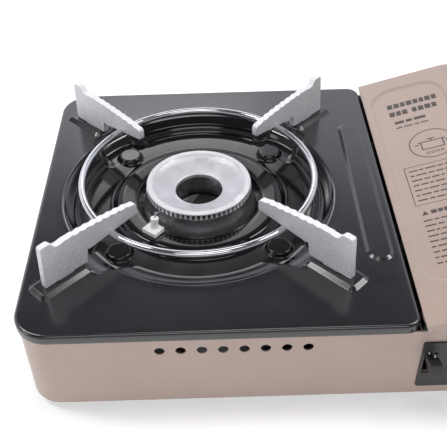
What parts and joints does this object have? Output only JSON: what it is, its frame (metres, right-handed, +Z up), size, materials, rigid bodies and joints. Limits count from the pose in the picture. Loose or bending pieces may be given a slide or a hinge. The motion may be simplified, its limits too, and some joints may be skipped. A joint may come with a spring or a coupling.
{
  "type": "portable gas stove",
  "caption": "Portable butane stove with a round burner in a dished hob, a lift-off pan support and a cartridge bay under a hinged sloping lid.",
  "frame": {"origin": "middle of the bounding box at table level", "axes": "+Z up, -Y the front with the knob, +X the side with the cartridge lid; the width along X is the longest extent"},
  "size_m": [0.348, 0.292, 0.109],
  "materials": {
    "shell_paint": "satin champagne baked paint with a fine orange peel",
    "hob_enamel": "glossy near-black vitreous enamel",
    "zinc_steel": "zinc-plated pressed sheet",
    "cast_alloy": "die-cast alloy, slightly rough",
    "cap_alloy": "sand-blasted cast alloy",
    "sheet_alloy": "mill-finish sheet",
    "brass": "turned",
    "copper": "drawn copper-coloured tube",
    "ceramic": "glazed white insulator",
    "lead_skin": "silicone-skinned high-voltage lead",
    "seal_rubber": "black nitrile, matt",
    "black_plastic": "fine-grained moulding",
    "white_plastic": "moulded",
    "fin_cast": "light grey heat-proof coating, worn bright on the crests",
    "chrome_wire": "bright plated wire"
  },
  "bodies": {
    "base": {"case_wrap": "shell_paint", "floor_pan": "zinc_steel", "top_plate": "hob_enamel", "partition": "zinc_steel", "control_fascia": "black_plastic", "burner_body": "cast_alloy", "burner_cap": "cap_alloy", "burner_bracket": "zinc_steel", "mixing_tube": "cast_alloy", "injector": "brass", "gas_pipe": "copper", "electrode_insulator": "ceramic", "electrode_wire": "zinc_steel", "electrode_clip": "zinc_steel", "igniter_lead": "lead_skin", "regulator_body": "cast_alloy", "regulator_cover": "zinc_steel", "diaphragm": "seal_rubber", "regulator_spring": "zinc_steel", "port_seal": "seal_rubber", "cartridge_tongue": "zinc_steel", "piezo_body": "white_plastic", "lever_bracket": "zinc_steel", "lever_pin": "zinc_steel", "slide_studs": "zinc_steel", "cartridge_cradle": "zinc_steel", "heat_plate": "sheet_alloy", "hinge_pins": "zinc_steel", "hinge_brackets": "zinc_steel", "lid_catch": "zinc_steel", "foot_front_left": "seal_rubber", "foot_front_right": "seal_rubber", "foot_back_left": "seal_rubber", "foot_back_right": "seal_rubber", "foot_screws": "zinc_steel", "hob_screws": "hob_enamel", "regulator_screws": "zinc_steel", "burner_screws": "zinc_steel"},
    "lid": {"lid": "shell_paint"},
    "knob": {"control_knob": "black_plastic", "valve_spindle": "zinc_steel"},
    "lever": {"lever_crank": "zinc_steel", "lever_grip": "black_plastic"},
    "pusher": {"pusher_bar": "zinc_steel", "pusher_plate": "zinc_steel"},
    "piezo_button": {"piezo_plunger": "black_plastic"},
    "pan_support": {"wire_ring": "chrome_wire", "fin_front_left": "fin_cast", "fin_front_right": "fin_cast", "fin_back_left": "fin_cast", "fin_back_right": "fin_cast"}
  },
  "joints": [
    {"name": "lid_hinge", "type": "hinge", "parent": "base", "child": "lid", "pos_m": [0.0847, 0, 0.0711], "axis": [0, -1, 0], "range_deg": [0, 86]},
    {"name": "knob_turn", "type": "hinge", "parent": "base", "child": "knob", "pos_m": [0.134, -0.13, 0.036], "axis": [0, -1, 0], "range_deg": [0, 130]},
    {"name": "lever_turn", "type": "hinge", "parent": "base", "child": "lever", "pos_m": [0.0865, -0.118, 0.038], "axis": [1, 0, 0], "range_deg": [0, 36]},
    {"name": "pusher_slide", "type": "slide", "parent": "base", "child": "pusher", "axis": [0, -1, 0], "range_m": [0, 0.01112]},
    {"name": "piezo_press", "type": "slide", "parent": "base", "child": "piezo_button", "axis": [-1, 0, 0], "range_m": [0, 0.004], "stiffness_N_per_m": 600},
    {"name": "pan_support_lift", "type": "slide", "parent": "base", "child": "pan_support", "axis": [0, 0, 1], "range_m": [0, 0.06]}
  ],
  "couplings": [
    {"joint": "lever_turn", "follows": "pusher_slide", "rad_per_m": 56.5}
  ]
}
